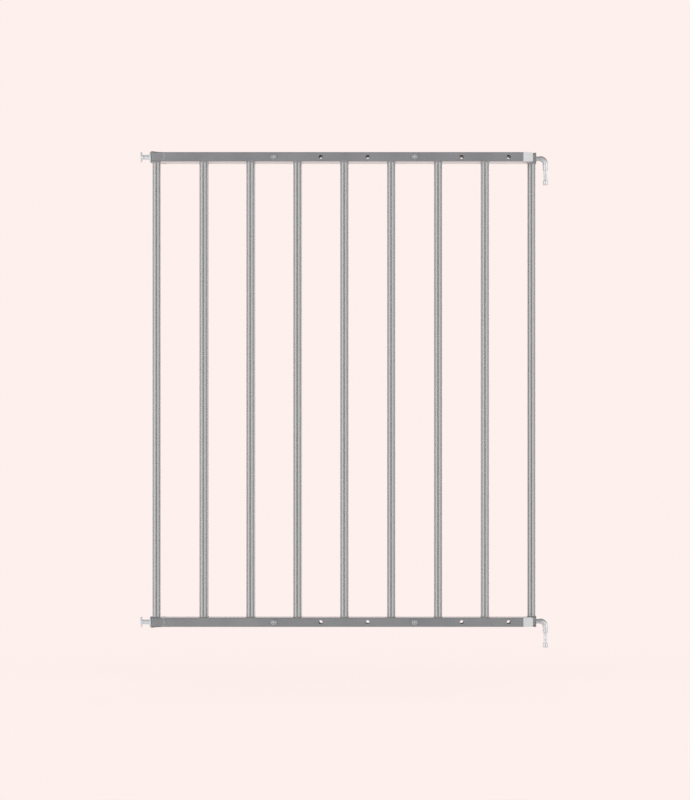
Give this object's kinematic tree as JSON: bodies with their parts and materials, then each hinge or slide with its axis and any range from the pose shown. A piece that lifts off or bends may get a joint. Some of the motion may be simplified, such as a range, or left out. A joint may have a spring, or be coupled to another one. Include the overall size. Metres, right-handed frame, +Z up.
{
  "type": "safety gate",
  "caption": "Extending wall-mounted safety gate: two sliding barred metal panels with bent hinge pins at one edge and flanged lock studs at the other.",
  "frame": {"origin": "on the hinge axis, at the middle of the lower hinge pin's tip", "axes": "+X from the lock side to the hinge side, +Y from the front panel to the rear panel, +Z up along the hinge axis"},
  "size_m": [0.6214, 0.0426, 0.7567],
  "materials": {
    "rail_paint": "satin grey powder coat",
    "bar_paint": "semi-gloss grey coat",
    "cap_plastic": "light grey moulded",
    "insert_steel": "zinc plated",
    "zinc_plate": "bright zinc plated",
    "screw_zinc": "bright zinc plated"
  },
  "bodies": {
    "hinge_panel": {"hinge_top_rail": "rail_paint", "hinge_bottom_rail": "rail_paint", "hinge_bar_1": "bar_paint", "hinge_bar_2": "bar_paint", "hinge_bar_3": "bar_paint", "hinge_bar_4": "bar_paint", "hinge_bar_5": "bar_paint", "hinge_bar_6": "bar_paint", "hinge_bar_7": "bar_paint", "hinge_bar_8": "bar_paint", "hinge_top_cap": "cap_plastic", "hinge_bottom_cap": "cap_plastic", "hinge_top_insert": "insert_steel", "hinge_bottom_insert": "insert_steel"},
    "lock_panel": {"lock_top_rail": "rail_paint", "lock_bottom_rail": "rail_paint", "lock_bar_1": "bar_paint", "lock_bar_2": "bar_paint", "lock_bar_3": "bar_paint", "lock_bar_4": "bar_paint", "lock_bar_5": "bar_paint", "lock_bar_6": "bar_paint", "lock_bar_7": "bar_paint", "lock_bar_8": "bar_paint", "lock_top_cap": "cap_plastic", "lock_bottom_cap": "cap_plastic", "lock_top_insert": "insert_steel", "lock_bottom_insert": "insert_steel", "clamp_screws": "screw_zinc", "clamp_nuts": "screw_zinc"},
    "upper_lock_stud_body": {"upper_lock_stud": "zinc_plate"},
    "lower_lock_stud_body": {"lower_lock_stud": "zinc_plate"},
    "upper_hinge_pin_body": {"upper_hinge_pin": "zinc_plate"},
    "lower_hinge_pin_body": {"lower_hinge_pin": "zinc_plate"}
  },
  "joints": [
    {"name": "width_slide", "type": "slide", "parent": "hinge_panel", "child": "lock_panel", "axis": [-1, 0, 0], "range_m": [0, 0.429]},
    {"name": "upper_lock_stud_thread", "type": "slide", "parent": "lock_panel", "child": "upper_lock_stud_body", "axis": [-1, 0, 0], "range_m": [0, 0.047]},
    {"name": "lower_lock_stud_thread", "type": "slide", "parent": "lock_panel", "child": "lower_lock_stud_body", "axis": [-1, 0, 0], "range_m": [0, 0.047]},
    {"name": "upper_hinge_pin_thread", "type": "slide", "parent": "hinge_panel", "child": "upper_hinge_pin_body", "axis": [1, 0, 0], "range_m": [0, 0.025]},
    {"name": "lower_hinge_pin_thread", "type": "slide", "parent": "hinge_panel", "child": "lower_hinge_pin_body", "axis": [1, 0, 0], "range_m": [0, 0.025]}
  ]
}
